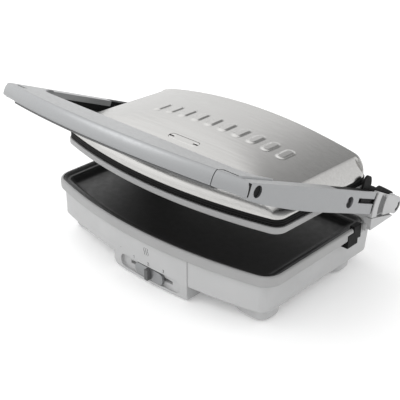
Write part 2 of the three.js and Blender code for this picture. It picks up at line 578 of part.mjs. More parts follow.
function lidRing() {
  return shell(LID, [[RING_BOTTOM, 1.6], [RING_BOTTOM + 1.4, 0.3], [RING_TOP - 1.5, 0], [RING_TOP, 0.8]])
    .subtract(shell(LID, [[RING_BOTTOM - 1, 4], [-6, 4]]))
    .subtract(shell(LID, [[-7, 14], [RING_TOP + 1, 14]]))
    .subtract(pivotClearance());
}

function lidBand() {
  return shell(LID, [[RING_TOP + GAP, 1.6], [BAND_TOP, 1.6]])
    .subtract(shell(LID, [[RING_TOP - 1, 18], [BAND_TOP + 1, 18]]))
    .subtract(pivotClearance());
}

function coverSolid(shrink, bottom) {
  const { crease, creaseHalfWidth, crown, bulge } = COVER;
  const section = new THREE.Shape();
  const s = shrink;
  section.moveTo(-bulge + 1.5 + s, bottom);
  section.lineTo(bulge - 1.5 - s, bottom);
  section.quadraticCurveTo(bulge - s, crease - 11 - s, creaseHalfWidth - s, crease - s);
  const crownControl = crown * 2 - crease - s;
  section.quadraticCurveTo(0, crownControl, -creaseHalfWidth + s, crease - s);
  section.quadraticCurveTo(-bulge + s, crease - 11 - s, -bulge + 1.5 + s, bottom);
  const vault = slabY(section, -200, 100, 9);
  const roll = [[bottom, 0, 0], [14, 1.5, 0.5], [20, 5, 1.2], [25, 11, 2], [29, 20, 3],
    [32.5, 33, 4], [36, 56, 5],
    [39.5, 82, 6], [43, 105, 7]];
  const levels = roll.map(([z, back, forward]) => {
    const plan = { ...LID, front: LID.front + back, rear: LID.rear - forward };
    plan.frontRadius += Math.min(back, 18) * 0.8;
    return { z, points: outline(plan, COVER.inset + s) };
  });
  return loft(levels).intersect(vault);
}

function lidCover() {
  const bottom = BAND_TOP + GAP;
  return coverSolid(0, bottom).subtract(coverSolid(COVER.thickness, bottom - 1))
    .subtract(indicatorBody(GAP));
}

function indicatorBody(grow) {
  const { x, y } = INDICATOR;
  const pill = slabZ(roundedShape([[x - 23 - grow, y - 5 - grow, 5], [x + 23 + grow, y - 5 - grow, 5],
    [x + 23 + grow, y + 5 + grow, 5], [x - 23 - grow, y + 5 + grow, 5]]),
  INDICATOR_DEPTH - grow * 4, COVER.crown + 1, 4);
  return pill;
}

function upperPlate() {
  let body = shell(LID, [[RING_BOTTOM + 1.2, 4 + GAP], [-6.3, 4 + GAP]]);
  for (let x = -147; x <= 147; x += 14) {
    const front = LID.front - LID.bow * (1 - (x / LID.halfWidth) ** 2) + 16;
    body = body.add(box(x - 2, x + 2, front, LID.rear - 16, RING_BOTTOM - 3.6, RING_BOTTOM + 2));
  }
  return body;
}

function makeLid() {
  const group = new THREE.Group();
  const midY = (LID.front + LID.rear) / 2;
  group.add(piece('lid_ring', 'trim', lidRing()));
  group.add(piece('lid_band', 'black', lidBand()));
  group.add(piece('lid_cover', 'stainless', lidCover()));
  group.add(piece('upper_plate', 'nonStick', upperPlate()));
  group.add(piece('upper_heating_element', 'steel', heatingElement(midY - 2, 1)));
  group.add(piece('upper_heat_shield', 'steel', heatShield(LID, 26, 8, 7, [-1, 6.2])));
  const { x: lampX, y: lampY, spread } = INDICATOR;
  const lamps = [-1, 1].map((i) =>
    box(lampX + i * spread - 4, lampX + i * spread + 4, lampY - 1.4, lampY + 1.4, 30, 60));
  const bezel = indicatorBody(0).subtract(lamps[0]).subtract(lamps[1]);
  group.add(piece('indicator_bezel', 'stainless', bezel.intersect(coverSolid(-0.9, 0))));
  [['left', -1], ['right', 1]].forEach(([name, i]) => {
    const lens = box(lampX + i * spread - 3.7, lampX + i * spread + 3.7, lampY - 1.1, lampY + 1.1, 31, 35.2);
    group.add(piece(`indicator_lens_${name}`, 'lens', lens));
  });
  for (const [name, side] of SIDES) {
    const bush = rodX(5.6, LID.halfWidth - 13.7, LID.halfWidth - GAP, 0, 0, 20)
      .subtract(rodX(PIVOT.radius + GAP, 150, 180));
    group.add(piece(`lid_pivot_bush_${name}`, 'black', mirrorX(bush, side)));
  }
  return group;
}

// ---- assembly ---------------------------------------------------------------------------------------
const press = new THREE.Group();
press.add(makeBase(), makeSlider());

const raised = new THREE.Euler(THREE.MathUtils.degToRad(-HANDLE_ANGLE), 0, 0);
const hinge = new THREE.Vector3(0, HINGE.y, HINGE.z);
for (const group of [makeHandle(), makeHingeCarrier()]) {
  group.position.copy(hinge);
  group.rotation.copy(raised);
  press.add(group);
}

const lid = makeLid();
lid.position.set(0, -PIVOT.reach, PIVOT.height).applyEuler(raised).add(hinge);
lid.rotation.x = THREE.MathUtils.degToRad(-LID_TILT);
press.add(lid);

// The origin is the middle of the press's box, on the floor.
const extent = new THREE.Box3().setFromObject(press, true);
press.position.y = -(extent.min.y + extent.max.y) / 2;

export default press;
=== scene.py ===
import json
import math

import bmesh
import bpy
from mathutils import Matrix, Vector


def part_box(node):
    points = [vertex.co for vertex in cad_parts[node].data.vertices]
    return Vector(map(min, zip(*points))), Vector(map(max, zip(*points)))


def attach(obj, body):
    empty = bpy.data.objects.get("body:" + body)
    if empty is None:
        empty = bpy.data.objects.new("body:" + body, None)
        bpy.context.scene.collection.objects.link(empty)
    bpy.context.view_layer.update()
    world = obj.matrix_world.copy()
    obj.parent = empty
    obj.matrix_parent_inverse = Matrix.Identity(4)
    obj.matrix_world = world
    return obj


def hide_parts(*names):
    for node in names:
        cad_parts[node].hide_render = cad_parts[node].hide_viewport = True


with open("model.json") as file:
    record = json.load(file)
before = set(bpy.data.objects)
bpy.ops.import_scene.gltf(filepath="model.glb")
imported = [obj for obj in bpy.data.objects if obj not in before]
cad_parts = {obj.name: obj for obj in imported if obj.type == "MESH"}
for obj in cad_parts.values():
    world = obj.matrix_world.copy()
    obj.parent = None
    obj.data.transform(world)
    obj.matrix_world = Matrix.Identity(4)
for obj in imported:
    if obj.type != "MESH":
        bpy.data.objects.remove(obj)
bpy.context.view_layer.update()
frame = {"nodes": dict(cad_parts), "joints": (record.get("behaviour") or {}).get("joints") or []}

# ---- driving values, in millimetres unless a name says otherwise -----------------------------------
MM = 0.001

CAMERA_PLACE_M = (0.6562, -0.6844, 0.5837)
CAMERA_AZIMUTH = 43.44  # degrees, from -Y towards +X
CAMERA_ELEVATION = 28.35
CAMERA_LENS = 79.34
CAMERA_SENSOR = 36

HANDLE_ANGLE = 23.2  # degrees above level
LID_TILT = 2

GAP = 0.3  # air between neighbouring pieces

BASE = {"half": 180, "front": 0, "rear": 182, "bow": 26, "front_radius": 24, "rear_radius": 16}
HOUSING = {**BASE, "half": 182.5, "rear": 217}
SKIRT_FORWARD = 9
SKIRT_BOTTOM = 20
LID = {"half": 173.5, "front": -102.4, "rear": 68.6, "bow": 25, "front_radius": 16, "rear_radius": 20}

RIM_BOTTOM = 57
RIM_TOP = 70
LEDGE_TOP = 66.5
TRAY_FLOOR = 58.8
FOOT = {"width": 46, "depth": 36, "inset": 17, "radius": 15, "bottom": 2.3}

BAR = {"half": 191, "end_reach": 302, "bow": 30, "inner_reach": 266, "top": 15, "bottom": -4.5}
BAR_CAP_INNER = 155
CAP_GAP = 3  # from the end caps back to the arms
ARM_FRONT = 296.5
ARM_INNER = 175.3

RING_BOTTOM = -10.2
RING_TOP = -1.7
BAND_TOP = 6.3
COVER_INSET = 3
COVER_THICKNESS = 1.4
CREASE_X = 154
CREASE_Z = 26.4
CROWN_Z = 42.6
SHOULDER_BACK = 20  # the front roll begins this far behind the cover's front edge
SHOULDER_Z = 29
SHOULDER_REAR = 5.5
ROLL_EASE = 2.2
ROLL_LENGTH = 8
ROLL_SLOPE = 0.14
COVER_CORNER = 35
COVER_GRID = (260, 120)  # columns and rows of the pressed sheet
WALL_STEPS = 14
RIBS = {"count": 10, "pitch": 22, "x": 8, "y": -13,
        "half_width": 6.5, "half_length": 14, "rise": 1.3, "soft": 2.2}

INDICATOR = {"y": -68, "half": 23, "radius": 5, "low": 27, "high": 50}
FASCIA = {"left": -49, "right": 72, "inset": 4}
KNOB_CENTRE = 13
SETTING_PITCH = 24
HEAT_ICON = {"x": 10, "z": 44}
DIGIT_Z = 28.5
REST = {"y": (138, 149, 163.5), "step": 65, "deep": 6}
SIDES = (("left", -1), ("right", 1))


# ---- camera ---------------------------------------------------------------------------------------
def make_camera():
    a = math.radians(CAMERA_AZIMUTH)
    e = math.radians(CAMERA_ELEVATION)
    back = Vector((math.sin(a) * math.cos(e), -math.cos(a) * math.cos(e), math.sin(e)))
    right = Vector((math.cos(a), math.sin(a), 0))
    turn = Matrix((right, back.cross(right), back)).transposed().to_4x4()
    data = bpy.data.cameras.new("camera")
    data.lens = CAMERA_LENS
    data.sensor_width = CAMERA_SENSOR
    camera = bpy.data.objects.new("camera", data)
    camera.matrix_world = Matrix.Translation(CAMERA_PLACE_M) @ turn
    bpy.context.scene.collection.objects.link(camera)
    bpy.context.scene.camera = camera


make_camera()


# ---- places ---------------------------------------------------------------------------------------
def joint_place(name):
    joint = next(j for j in frame["joints"] if j["name"] == name)
    return Vector(joint["pos_m"])


def raised(place, degrees):
    return Matrix.Translation(place) @ Matrix.Rotation(math.radians(-degrees), 4, "X")


BASE_PLACE = Matrix.Translation((0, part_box("base_rim")[0].y + BASE["bow"] * MM, 0))
HANDLE_PLACE = raised(joint_place("lid_open"), HANDLE_ANGLE)
LID_PLACE = raised(joint_place("lid_level"), LID_TILT)


# ---- materials ------------------------------------------------------------------------------------
def new_material(name, sockets):
    material = bpy.data.materials.new(name)
    material.use_nodes = True
    shader = material.node_tree.nodes["Principled BSDF"]
    for socket, value in sockets.items():
        shader.inputs[socket].default_value = value
    return material


def noise(material, scale, detail=3, stretch=(1, 1, 1)):
    """A noise texture fixed to the object; stretch makes it finer or coarser along each axis."""
    nodes = material.node_tree.nodes
    links = material.node_tree.links
    where = nodes.new("ShaderNodeTexCoord")
    mapping = nodes.new("ShaderNodeMapping")
    mapping.inputs["Scale"].default_value = stretch
    texture = nodes.new("ShaderNodeTexNoise")
    texture.inputs["Scale"].default_value = scale
    texture.inputs["Detail"].default_value = detail
    links.new(where.outputs["Object"], mapping.inputs["Vector"])
    links.new(mapping.outputs["Vector"], texture.inputs["Vector"])
    return texture.outputs["Fac"]


def spread(material, source, low, high):
    """The source's middle range mapped onto low..high."""
    nodes = material.node_tree.nodes
    ranged = nodes.new("ShaderNodeMapRange")
    ranged.inputs["From Min"].default_value = 0.3
    ranged.inputs["From Max"].default_value = 0.7
    ranged.inputs["To Min"].default_value = low
    ranged.inputs["To Max"].default_value = high
    material.node_tree.links.new(source, ranged.inputs["Value"])
    return ranged.outputs["Result"]


def tint(material, source, dark, light):
    """Colour that wanders between two shades."""
    ramp = material.node_tree.nodes.new("ShaderNodeValToRGB")
    ramp.color_ramp.elements[0].position = 0.3
    ramp.color_ramp.elements[0].color = (*dark, 1)
    ramp.color_ramp.elements[1].position = 0.7
    ramp.color_ramp.elements[1].color = (*light, 1)
    links = material.node_tree.links
    links.new(source, ramp.inputs["Fac"])
    links.new(ramp.outputs["Color"], shader_of(material).inputs["Base Color"])


def gloss(material, source, low, high):
    links = material.node_tree.links
    links.new(spread(material, source, low, high), shader_of(material).inputs["Roughness"])


def relief(material, *layers):
    """Bump made of (source, height in mm) layers, one on top of the other."""
    links = material.node_tree.links
    normal = None
    for source, height in layers:
        bump = material.node_tree.nodes.new("ShaderNodeBump")
        bump.inputs["Strength"].default_value = 1
        bump.inputs["Distance"].default_value = height * MM
        links.new(source, bump.inputs["Height"])
        if normal:
            links.new(normal, bump.inputs["Normal"])
        normal = bump.outputs["Normal"]
    links.new(normal, shader_of(material).inputs["Normal"])


def shader_of(material):
    return material.node_tree.nodes["Principled BSDF"]


def grey(level, warmth=0.0):
    """A linear grey, a little warmer above zero and cooler below."""
    return (level * (1 + warmth), level, level * (1 - warmth))


def moulded_plastic(name, level, warmth, rough, grain=0.012, coat=0.0, specular=0.45):
    """Injection-moulded plastic: fine spark-eroded grain, slight cloudiness in colour and gloss."""
    material = new_material(name, {
        "Specular IOR Level": specular, "Coat Weight": coat, "Coat Roughness": 0.25})
    cloud = noise(material, 22, 2)
    tint(material, cloud, grey(level * 0.965, warmth), grey(level * 1.035, warmth))
    fine = noise(material, 2600, 2)
    gloss(material, noise(material, 160, 3), rough - 0.05, rough + 0.05)
    relief(material, (fine, grain), (noise(material, 60, 2), 0.03))
    return material


def satin_silver():
    """Silver-painted plastic: metal flake under a satin lacquer."""
    material = new_material("satin_silver", {
        "Metallic": 0.8, "Coat Weight": 0.06, "Coat Roughness": 0.25, "Specular IOR Level": 0.45})
    flake = noise(material, 3800, 1)
    tint(material, flake, (0.26, 0.265, 0.27), (0.33, 0.335, 0.34))
    gloss(material, noise(material, 260, 3), 0.3, 0.38)
    relief(material, (flake, 0.004), (noise(material, 45, 2), 0.03))
    return material


def brushed_stainless():
    """Stainless sheet brushed along X, with faint uneven streaks."""
    material = new_material("brushed_stainless", {"Metallic": 1, "Anisotropic": 0.45})
    lines = noise(material, 90, 3, (0.1, 30, 30))
    streaks = noise(material, 40, 2, (0.1, 14, 14))
    tint(material, streaks, (0.47, 0.465, 0.455), (0.51, 0.505, 0.495))
    gloss(material, lines, 0.2, 0.27)
    relief(material, (lines, 0.0015))
    tangent = material.node_tree.nodes.new("ShaderNodeTangent")
    tangent.direction_type = "RADIAL"
    tangent.axis = "Y"
    material.node_tree.links.new(tangent.outputs["Tangent"], shader_of(material).inputs["Tangent"])
    return material


def turned_steel():
    material = new_material("turned_steel", {"Metallic": 1})
    rings = noise(material, 500, 2, (6, 1, 1))
    tint(material, rings, (0.36, 0.36, 0.37), (0.46, 0.46, 0.47))
    gloss(material, rings, 0.28, 0.4)
    relief(material, (rings, 0.006))
    return material


def non_stick():
    """Dark PTFE coating: fine orange peel with pale mineral specks."""
    material = new_material("non_stick", {
        "Specular IOR Level": 0.4, "Coat Weight": 0.06, "Coat Roughness": 0.35})
    specks = noise(material, 900, 1)
    tint(material, specks, (0.009, 0.009, 0.009), (0.017, 0.017, 0.017))
    gloss(material, noise(material, 140, 3), 0.38, 0.5)
    relief(material, (noise(material, 1100, 2), 0.02), (noise(material, 90, 2), 0.05))
    return material


def porous(name, dark, light, rough, scale):
    """Unglazed ceramic or rubber: matt, finely pitted."""
    material = new_material(name, {"Specular IOR Level": 0.3})
    tint(material, noise(material, scale / 6, 3), dark, light)
    gloss(material, noise(material, scale, 2), rough - 0.06, rough + 0.06)
    relief(material, (noise(material, scale, 3), 0.03))
    return material


def lamp_glass():
    material = new_material("lamp_glass", {"Transmission Weight": 0.35, "Coat Weight": 0.3, "IOR": 1.5})
    tint(material, noise(material, 300, 2), (0.010, 0.006, 0.006), (0.030, 0.010, 0.010))
    gloss(material, noise(material, 500, 2), 0.15, 0.28)
    return material


MATERIALS = {
    "shell_grey": moulded_plastic("shell_plastic", 0.42, -0.004, 0.46),
    "trim_grey": moulded_plastic("trim_plastic", 0.3, 0.0, 0.42, coat=0.1),
    "silver_plastic": satin_silver(),
    "dark_grey_plastic": moulded_plastic("dark_grey_plastic", 0.1, -0.01, 0.5, specular=0.3),
    "black_plastic": moulded_plastic("black_plastic", 0.005, 0.0, 0.55, grain=0.015, specular=0.12),
    "non_stick": non_stick(),
    "brushed_stainless": brushed_stainless(),
    "plain_steel": turned_steel(),
    "ceramic": porous("steatite", (0.62, 0.58, 0.5), (0.74, 0.7, 0.62), 0.75, 700),
    "rubber": porous("rubber", (0.012, 0.012, 0.012), (0.022, 0.022, 0.022), 0.8, 1200),
    "lamp_lens": lamp_glass(),
}


# ---- mesh helpers ---------------------------------------------------------------------------------
def add_mesh(name, points, faces, place):
    mesh = bpy.data.meshes.new(name)
    mesh.from_pydata([place @ (Vector(p) * MM) for p in points], [], faces)
    obj = bpy.data.objects.new(name, mesh)
    bpy.context.scene.collection.objects.link(obj)
    return obj


def face_outwards(obj):
    bm = bmesh.new()
    bm.from_mesh(obj.data)
    bmesh.ops.remove_doubles(bm, verts=bm.verts, dist=1e-7)
    bmesh.ops.recalc_face_normals(bm, faces=bm.faces)
    bm.to_mesh(obj.data)
    bm.free()


def loft(name, rings, place, closed=False):
    """Skin over rings of equal point count: closed joins the last to the first, else the ends are capped."""
    count = len(rings[0])
    faces = []
    for k in range(len(rings) if closed else len(rings) - 1):
        a = k * count
        b = (k + 1) % len(rings) * count
        for i in range(count):
            j = (i + 1) % count
            faces.append((a + i, a + j, b + j, b + i))
    if not closed:
        faces.append(tuple(range(count - 1, -1, -1)))
        faces.append(tuple(range((len(rings) - 1) * count, len(rings) * count)))
    obj = add_mesh(name, [p for ring in rings for p in ring], faces, place)
    face_outwards(obj)
    return obj


def prism(name, shape, low, high, axis, place):
    """A flat shape pushed along an axis: "x" takes (y, z) points, "y" takes (x, z), "z" takes (x, y)."""
    orders = {
        "x": lambda a, b, c: (c, a, b),
        "y": lambda a, b, c: (a, c, b),
        "z": lambda a, b, c: (a, b, c)}
    put = orders[axis]
    return loft(name, [[put(a, b, c) for a, b in shape] for c in (low, high)], place)


def arc(cx, cy, radius, start, end, steps):
    turn = [start + (end - start) * i / steps for i in range(steps + 1)]
    return [(cx + radius * math.cos(t), cy + radius * math.sin(t)) for t in turn]


def rounded(corners, steps=6):
    """Closed polygon of (a, b, radius) corners, each corner eased by a short curve."""
    points = []
    for i, (a, b, radius) in enumerate(corners):
        here = Vector((a, b))
        if not radius:
            points.append((a, b))
            continue
        before = here + (Vector(corners[i - 1][:2]) - here).normalized() * radius
        after = here + (Vector(corners[(i + 1) % len(corners)][:2]) - here).normalized() * radius
        for k in range(steps + 1):
            t = k / steps
            points.append(tuple(before * (1 - t) ** 2 + here * 2 * t * (1 - t) + after * t * t))
    return points


def bow_circle(half, bow, front):
    """Radius and centre of the arc that bulges by bow over a half width, with its middle at front - bow."""
    radius = (half ** 2 + bow ** 2) / (2 * bow)
    return radius, front - bow + radius


def bowed_y(plan, x, inset):
    """Where a plan's bowed front lies at x, moved in by inset."""
    radius, centre = bow_circle(plan["half"], plan["bow"], plan["front"])
    return centre - math.sqrt((radius - inset) ** 2 - x * x)


def plan_curve(plan, inset=0.0, steps=(72, 12, 6, 10, 24)):
    """Anticlockwise plan outline: bowed front, straight sides, rounded corners, moved in by inset."""
    front_steps, corner_steps, side_steps, back_steps, rear_steps = steps
    bow_radius, centre = bow_circle(plan["half"], plan["bow"], plan["front"])
    wide = plan["half"] - inset
    corner = max(plan["front_radius"] - inset, 5)
    back = max(plan["rear_radius"] - inset, 4)
    reach = bow_radius - inset - corner
    corner_y = centre - math.sqrt(reach ** 2 - (wide - corner) ** 2)
    tangent = math.atan2(corner_y - centre, wide - corner)
    rear = plan["rear"] - inset
    front = arc(0, centre, bow_radius - inset, -math.pi - tangent, tangent, front_steps)
    right = arc(wide - corner, corner_y, corner, tangent, 0, corner_steps)[1:]
    side = [(wide, corner_y + (rear - back - corner_y) * k / side_steps) for k in range(1, side_steps)]
    turn = arc(wide - back, rear - back, back, 0, math.pi / 2, back_steps)
    across = [((wide - back) * (1 - 2 * k / rear_steps), rear) for k in range(1, rear_steps)]
    half_loop = right + side + turn
    mirrored = [(-x, y) for x, y in reversed(half_loop)]
    return front + half_loop + across + mirrored


def plan_rings(plan, profile):
    """The plan's outline at each (inset, z) of a profile."""
    return [[(x, y, z) for x, y in plan_curve(plan, inset)] for inset, z in profile]


def settle(obj):
    """Applies the object's modifiers."""
    graph = bpy.context.evaluated_depsgraph_get()
    mesh = bpy.data.meshes.new_from_object(obj.evaluated_get(graph))
    obj.modifiers.clear()
    obj.data = mesh


def boolean(obj, tool, operation):
    modifier = obj.modifiers.new("boolean", "BOOLEAN")
    modifier.operation = operation
    modifier.solver = "MANIFOLD"
    modifier.object = tool
    settle(obj)
    bpy.data.objects.remove(tool)


def dress(obj, body, slot, nodes=(), bevel=0.0, crease=32):
    """Rounds the hard edges, sets the shading, paints the piece and puts it on its body."""
    if bevel:
        rounding = obj.modifiers.new("bevel", "BEVEL")
        rounding.width = bevel * MM
        rounding.segments = 3
        rounding.limit_method = "ANGLE"
        rounding.angle_limit = math.radians(crease)
        rounding.use_clamp_overlap = True
    obj.data.shade_smooth()
    weighted = obj.modifiers.new("weighted", "WEIGHTED_NORMAL")
    weighted.keep_sharp = True
    weighted.weight = 80
    obj.data.set_sharp_from_angle(angle=math.radians(60 if bevel else 38))
    settle(obj)
    obj.data.materials.clear()
    obj.data.materials.append(MATERIALS[slot])
    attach(obj, body)
    if nodes:
        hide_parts(*nodes)


def refined(node, body, slot, bevel, flat=1.0):
    """A finished copy of a CAD node: facets within flat degrees joined, hard edges rounded."""
    mesh = frame["nodes"][node].data.copy()
    mesh.name = node + "_finished"
    obj = bpy.data.objects.new(node + "_finished", mesh)
    bpy.context.scene.collection.objects.link(obj)
    bm = bmesh.new()
    bm.from_mesh(mesh)
    bmesh.ops.remove_doubles(bm, verts=bm.verts, dist=2e-6)
    if flat:
        bmesh.ops.dissolve_limit(bm, angle_limit=math.radians(flat), verts=bm.verts, edges=bm.edges)
    bm.to_mesh(mesh)
    bm.free()
    dress(obj, body, slot, [node], bevel)


# ---- base -----------------------------------------------------------------------------------------
def foot_places():
    x = BASE["half"] - FOOT["inset"] - FOOT["width"] / 2
    front = FOOT["inset"] / 2 + FOOT["depth"] / 2
    rear = BASE["rear"] - FOOT["depth"] / 2 - 4
    return [(sx * x, y) for sx in (-1, 1) for y in (front, rear)]


def foot_block(x, y):
    w, d, r = FOOT["width"] / 2, FOOT["depth"] / 2, FOOT["radius"]
    levels = [(2.2, 0), (0.9, 0.5), (0.2, 1.5), (0, 3), (0, 13)]
    shape = []
    for inset, rise in levels:
        a, b, c = w - inset, d - inset, r - inset
        ring = rounded([(x - a, y - b, c), (x + a, y - b, c), (x + a, y + b, c), (x - a, y + b, c)])
        shape.append([(p, q, FOOT["bottom"] + rise) for p, q in ring])
    return loft("foot", shape, BASE_PLACE)


def front_skirt():
    """The forward part of the front wall, open in the middle for the fascia."""
    plan = {**HOUSING, "front": HOUSING["front"] - SKIRT_FORWARD}
    low, high = SKIRT_BOTTOM, RIM_BOTTOM - GAP
    outside = [
        (17, low), (15.5, low + 0.3), (14.6, low + 1.2), (14, low + 3), (14, high - 0.8), (14.4, high)]
    inside = [(16.6, high), (17, high - 0.8), (17, low + 4), (17.6, low + 3.2)]
    skirt = loft("skirt", plan_rings(plan, outside + inside), BASE_PLACE)
    edges = (FASCIA["left"] - 0.35, FASCIA["right"] + 0.35)
    pocket = [(edges[0], -100), (edges[1], -100), (edges[1], 60), (edges[0], 60)]
    boolean(skirt, prism("pocket", pocket, 0, 90, "z", BASE_PLACE), "DIFFERENCE")
    behind = [(-300, 60), (300, 60), (300, 400), (-300, 400)]
    boolean(skirt, prism("behind", behind, 0, 90, "z", BASE_PLACE), "DIFFERENCE")
    return skirt


def make_housing():
    outside = [
        (19.5, 13), (17.6, 13.6), (16.5, 15), (16, 17.5), (15.7, 24), (15, 36), (14.4, 50), (14, 55.9),
        (14.4, 56.7)]
    inside = [(16.6, 56.7), (17, 56), (18, 30), (19.5, 16)]
    body = loft("base_housing_shell", plan_rings(HOUSING, outside + inside), BASE_PLACE)
    boolean(body, front_skirt(), "UNION")
    for x, y in foot_places():
        boolean(body, foot_block(x, y), "UNION")
    dress(body, "base", "shell_grey", ["base_housing"])


def rest_notch(side, grow=0.4):
    """The stepped space that the arm rest fills in the rim and the tray's lip."""
    front, step_y, rear = (value + way * grow for value, way in zip(REST["y"], (-1, -1, 1)))
    step = REST["step"] + grow
    inner = BASE["half"] - REST["deep"] - grow
    outer = BASE["half"] + 3
    shape = [(front, RIM_BOTTOM - 5), (rear, RIM_BOTTOM - 5), (rear, RIM_TOP + 5), (step_y, RIM_TOP + 5),
             (step_y, step), (front, step)]
    span = (inner, outer) if side == "right" else (-outer, -inner)
    return prism("notch", shape, *span, "x", BASE_PLACE)


def make_rim():
    profile = rounded([
        (0, RIM_BOTTOM, 2.6), (0, RIM_TOP, 3.4), (3.5, RIM_TOP, 0.5), (3.5, LEDGE_TOP, 0),
        (12, LEDGE_TOP, 0.4), (12, RIM_BOTTOM, 0.4)])
    rim = loft("rim_frame", plan_rings(BASE, profile[::-1]), BASE_PLACE, closed=True)
    for side, _ in SIDES:
        boolean(rim, rest_notch(side), "DIFFERENCE")
    dress(rim, "base", "trim_grey", ["base_rim"])


def make_tray():
    """Non-stick cooking tray: a lip in the rim, sloped walls, a soft cove and a flat floor."""
    under = [(19, 56.1), (17.6, 56.6), (12.6, 66.2), (12.4, 66.8), (4.1, 66.8), (3.8, 67.1)]
    lip = [(3.8, 68.4), (4.0, 68.8), (4.5, 69.0), (5.4, 68.9), (6.6, 68.3), (8.2, 67.3)]
    cove = rounded([(8.2, 67.3, 0), (15.6, 63.6, 4), (19.6, TRAY_FLOOR, 4.2), (26, TRAY_FLOOR, 0)], 8)
    tray = loft("cooking_tray", plan_rings(BASE, under + lip + cove[1:]), BASE_PLACE)
    for side, _ in SIDES:
        boolean(tray, rest_notch(side), "DIFFERENCE")
    dress(tray, "base", "non_stick", ["lower_plate"])


def ink_line(points, width=0.55):
    """A raised printed line along (x, z) points, as one thin bar for each step."""
    bars = []
    for (ax, az), (bx, bz) in zip(points, points[1:]):
        along = Vector((bx - ax, bz - az)).normalized() * (width / 2)
        across = Vector((-along.y, along.x))
        start = Vector((ax, az)) - along
        end = Vector((bx, bz)) + along
        face = bowed_y(BASE, (ax + bx) / 2, FASCIA["inset"])
        outline = [tuple(p) for p in (start - across, end - across, end + across, start + across)]
        bars.append(prism("ink", outline, face - 0.12, face + 0.5, "y", BASE_PLACE))
    return bars


def digit_lines(digit, x, z):
    """Strokes of a small plain numeral, 3.6 mm tall."""
    if digit == 1:
        return [[(x - 0.7, z + 1.2), (x, z + 1.8), (x, z - 1.8)]]
    if digit == 2:
        bowl = arc(x, z + 0.8, 1.0, math.pi, -0.5, 6)
        return [bowl + [(x - 1.0, z - 1.8), (x + 1.1, z - 1.8)]]
    upper = arc(x, z + 0.9, 0.9, 2.6, -math.pi / 2, 6)
    lower = arc(x, z - 0.9, 0.9, math.pi / 2, -2.6, 6)
    return [upper + lower[1:]]


def make_marks():
    """Scale beside the heat slider: an off dot, three settings and three rising waves of heat."""
    off = KNOB_CENTRE - 2 * SETTING_PITCH
    lines = [[(off, 31.5), (off, 32.1)]]
    for digit in (1, 2, 3):
        lines += digit_lines(digit, KNOB_CENTRE + (digit - 2) * SETTING_PITCH, DIGIT_Z)
    for k in (-1, 0, 1):
        x, z = HEAT_ICON["x"] + 3 * k, HEAT_ICON["z"] - 4.5
        lines.append([(x + 0.7 * math.sin(n * 0.55), z + n * 0.75) for n in range(13)])
    bars = [bar for line in lines for bar in ink_line(line)]
    merged = bmesh.new()
    for bar in bars:
        merged.from_mesh(bar.data)
        bpy.data.objects.remove(bar)
    marks = add_mesh("scale_marks", [], [], BASE_PLACE)
    merged.to_mesh(marks.data)
    merged.free()
    dress(marks, "base", "dark_grey_plastic")


# ---- lid ------------------------------------------------------------------------------------------
def make_ring():
    profile = rounded([
        (0, RING_BOTTOM, 3.2), (0, RING_TOP, 1.2), (14, RING_TOP, 0.3), (14, -6, 0), (4, -6, 0),
        (4, RING_BOTTOM, 0.8)])
    ring = loft("lid_frame", plan_rings(LID, profile[::-1]), LID_PLACE, closed=True)
    dress(ring, "lid", "trim_grey", ["lid_ring"])


def make_band():
    """Black gasket band with fine grooves running round it."""
    low, high = RING_TOP + GAP, BAND_TOP
    outer = []
    grooves = 3
    pitch = (high - low) / grooves
    for k in range(grooves):
        z = low + k * pitch
        top = z + pitch
        outer += [(1.9, z + 0.05), (1.6, z + 0.4), (1.6, top - 0.75), (1.9, top - 0.45), (2.5, top - 0.25)]
    profile = outer + [(3, high), (18, high), (18, low), (3, low)]
    band = loft("lid_gasket", plan_rings(LID, profile), LID_PLACE, closed=True)
    dress(band, "lid", "black_plastic", ["lid_band"])


def soft_min(a, b, width):
    h = max(width - abs(a - b), 0) / width
    return min(a, b) - h * h * width / 4


def inside_front(x, y):
    """Distance in from the cover's bowed front, rounded at the corners."""
    radius, centre = bow_circle(LID["half"], LID["bow"], LID["front"])
    corner_x = LID["half"] - COVER_INSET - COVER_CORNER
    corner_y = centre - math.sqrt((radius - COVER_INSET - COVER_CORNER) ** 2 - corner_x ** 2)
    if abs(x) > corner_x and y < corner_y:
        return COVER_CORNER - math.hypot(abs(x) - corner_x, y - corner_y)
    return radius - COVER_INSET - math.hypot(x, y - centre)


def cover_height(x, y):
    """The pressed sheet: an arched crown that rolls down towards the front."""
    crown = CROWN_Z - (CROWN_Z - CREASE_Z) * (x / CREASE_X) ** 2
    back = inside_front(x, y) - SHOULDER_BACK
    roll = SHOULDER_Z + ROLL_EASE * (1 - math.exp(-back / ROLL_LENGTH)) + ROLL_SLOPE * back
    return soft_min(crown, roll, 3)


def emboss(x, y):
    """A row of round-ended raised ribs across the lid's middle."""
    last, pitch = RIBS["count"] - 1, RIBS["pitch"]
    start = -pitch * last / 2 + RIBS["x"]
    nearest = min(max(round((x - start) / pitch), 0), last)
    across = x - (start + nearest * pitch)
    along = max(abs(y - RIBS["y"]) - (RIBS["half_length"] - RIBS["half_width"]), 0)
    edge = RIBS["half_width"] - math.hypot(across, along)
    t = min(max(edge / RIBS["soft"], 0), 1)
    return RIBS["rise"] * t * t * (3 - 2 * t)


def quarter_loops(plan, inset):
    """The outline as four runs of points from corner middle to corner middle: front, right, rear, left."""
    loop = [Vector(p) for p in plan_curve(plan, inset, (96, 24, 24, 24, 48))]
    half, low, high = plan["half"], plan["front"], plan["rear"]
    marks = []
    for corner in ((-half, low), (half, low), (half, high), (-half, high)):
        marks.append(min(range(len(loop)), key=lambda i: (loop[i] - Vector(corner)).length))
    runs = []
    for k in range(4):
        a, b = marks[k], marks[(k + 1) % 4]
        runs.append(loop[a:b + 1] if a < b else loop[a:] + loop[:b + 1])
    return runs


